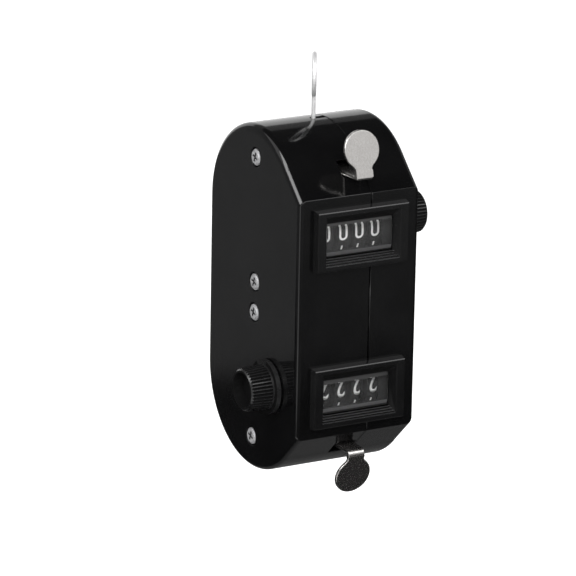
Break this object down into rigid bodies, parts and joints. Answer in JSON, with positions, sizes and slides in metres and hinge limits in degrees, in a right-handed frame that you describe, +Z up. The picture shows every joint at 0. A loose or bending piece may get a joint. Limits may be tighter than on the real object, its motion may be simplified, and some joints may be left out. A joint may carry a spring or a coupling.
{
  "type": "double hand tally counter",
  "caption": "Hand-held double tally counter: black round-ended case, framed number windows, finger levers, side reset knobs, wire hanging ring and working number-wheel mechanisms",
  "frame": {"origin": "centre of the flat back face of the case", "axes": "+Z up along the case, -Y out of the front with the windows, +X to the right of someone facing the front"},
  "size_m": [0.05, 0.049, 0.1094],
  "materials": {
    "shell": "polished moulded black plastic",
    "bezel": "polished moulded black plastic",
    "clear": "clear moulded plastic",
    "wheel": "black moulded plastic with white figures",
    "knob": "black moulded plastic, grooved",
    "nickel": "satin nickel on pressed steel",
    "screw": "bright zinc plated steel",
    "steel": "bright drawn steel",
    "spring": "spring steel",
    "brass": "turned brass"
  },
  "bodies": {
    "case": {"left_shell": "shell", "right_shell": "shell", "case_screws": "screw", "upper_bezel": "bezel", "upper_window": "clear", "lower_bezel": "bezel", "lower_window": "clear", "upper_lever_pin": "steel", "lower_lever_pin": "steel", "upper_return_spring": "spring", "lower_return_spring": "spring", "upper_detent_spring": "spring", "lower_detent_spring": "spring"},
    "hanging_loop": {"hanging_loop": "steel"},
    "upper_reset": {"upper_wheel_shaft": "steel", "upper_shaft_collar": "brass", "upper_reset_knob": "knob"},
    "upper_lever": {"upper_count_lever": "nickel", "upper_pawl_pin": "steel"},
    "upper_pawl": {"upper_drive_pawl": "spring"},
    "upper_units": {"upper_units_wheel": "wheel"},
    "upper_tens": {"upper_tens_wheel": "wheel"},
    "upper_hundreds": {"upper_hundreds_wheel": "wheel"},
    "upper_thousands": {"upper_thousands_wheel": "wheel"},
    "lower_reset": {"lower_wheel_shaft": "steel", "lower_shaft_collar": "brass", "lower_reset_knob": "knob"},
    "lower_lever": {"lower_count_lever": "nickel", "lower_pawl_pin": "steel"},
    "lower_pawl": {"lower_drive_pawl": "spring"},
    "lower_units": {"lower_units_wheel": "wheel"},
    "lower_tens": {"lower_tens_wheel": "wheel"},
    "lower_hundreds": {"lower_hundreds_wheel": "wheel"},
    "lower_thousands": {"lower_thousands_wheel": "wheel"}
  },
  "joints": [
    {"name": "upper_lever_press", "type": "hinge", "parent": "case", "child": "upper_lever", "pos_m": [0, -0.0351, 0.0336], "axis": [1, 0, 0], "range_deg": [-18, 0], "stiffness_Nm_per_rad": 0.012, "springref_deg": 6.88, "deforming": ["upper_return_spring"]},
    {"name": "upper_pawl_swing", "type": "hinge", "parent": "upper_lever", "child": "upper_pawl", "pos_m": [0, -0.02, 0.0314], "axis": [1, 0, 0], "range_deg": [0, 26.5]},
    {"name": "upper_reset_turn", "type": "hinge", "parent": "case", "child": "upper_reset", "pos_m": [0, -0.033, 0.0204], "axis": [1, 0, 0], "continuous": true},
    {"name": "upper_units_turn", "type": "hinge", "parent": "upper_reset", "child": "upper_units", "pos_m": [0, -0.033, 0.0204], "axis": [1, 0, 0], "continuous": true},
    {"name": "upper_tens_turn", "type": "hinge", "parent": "upper_reset", "child": "upper_tens", "pos_m": [0, -0.033, 0.0204], "axis": [1, 0, 0], "continuous": true},
    {"name": "upper_hundreds_turn", "type": "hinge", "parent": "upper_reset", "child": "upper_hundreds", "pos_m": [0, -0.033, 0.0204], "axis": [1, 0, 0], "continuous": true},
    {"name": "upper_thousands_turn", "type": "hinge", "parent": "upper_reset", "child": "upper_thousands", "pos_m": [0, -0.033, 0.0204], "axis": [1, 0, 0], "continuous": true},
    {"name": "lower_lever_press", "type": "hinge", "parent": "case", "child": "lower_lever", "pos_m": [0, -0.0351, -0.0336], "axis": [-1, 0, 0], "range_deg": [-18, 0], "stiffness_Nm_per_rad": 0.012, "springref_deg": 6.88, "deforming": ["lower_return_spring"]},
    {"name": "lower_pawl_swing", "type": "hinge", "parent": "lower_lever", "child": "lower_pawl", "pos_m": [0, -0.02, -0.0314], "axis": [-1, 0, 0], "range_deg": [0, 26.5]},
    {"name": "lower_reset_turn", "type": "hinge", "parent": "case", "child": "lower_reset", "pos_m": [0, -0.033, -0.0204], "axis": [-1, 0, 0], "continuous": true},
    {"name": "lower_units_turn", "type": "hinge", "parent": "lower_reset", "child": "lower_units", "pos_m": [0, -0.033, -0.0204], "axis": [-1, 0, 0], "continuous": true},
    {"name": "lower_tens_turn", "type": "hinge", "parent": "lower_reset", "child": "lower_tens", "pos_m": [0, -0.033, -0.0204], "axis": [-1, 0, 0], "continuous": true},
    {"name": "lower_hundreds_turn", "type": "hinge", "parent": "lower_reset", "child": "lower_hundreds", "pos_m": [0, -0.033, -0.0204], "axis": [-1, 0, 0], "continuous": true},
    {"name": "lower_thousands_turn", "type": "hinge", "parent": "lower_reset", "child": "lower_thousands", "pos_m": [0, -0.033, -0.0204], "axis": [-1, 0, 0], "continuous": true},
    {"name": "loop_swivel", "type": "hinge", "parent": "case", "child": "hanging_loop", "pos_m": [0, -0.0226, 0.045], "axis": [0, 0, 1], "continuous": true}
  ],
  "couplings": [
    {"joint": "upper_pawl_swing", "follows": "upper_lever_press", "ratio": -1.44},
    {"joint": "upper_tens_turn", "follows": "upper_units_turn", "ratio": 0.1},
    {"joint": "upper_hundreds_turn", "follows": "upper_units_turn", "ratio": 0.01},
    {"joint": "upper_thousands_turn", "follows": "upper_units_turn", "ratio": 0.001},
    {"joint": "lower_pawl_swing", "follows": "lower_lever_press", "ratio": -1.44},
    {"joint": "lower_tens_turn", "follows": "lower_units_turn", "ratio": 0.1},
    {"joint": "lower_hundreds_turn", "follows": "lower_units_turn", "ratio": 0.01},
    {"joint": "lower_thousands_turn", "follows": "lower_units_turn", "ratio": 0.001}
  ]
}
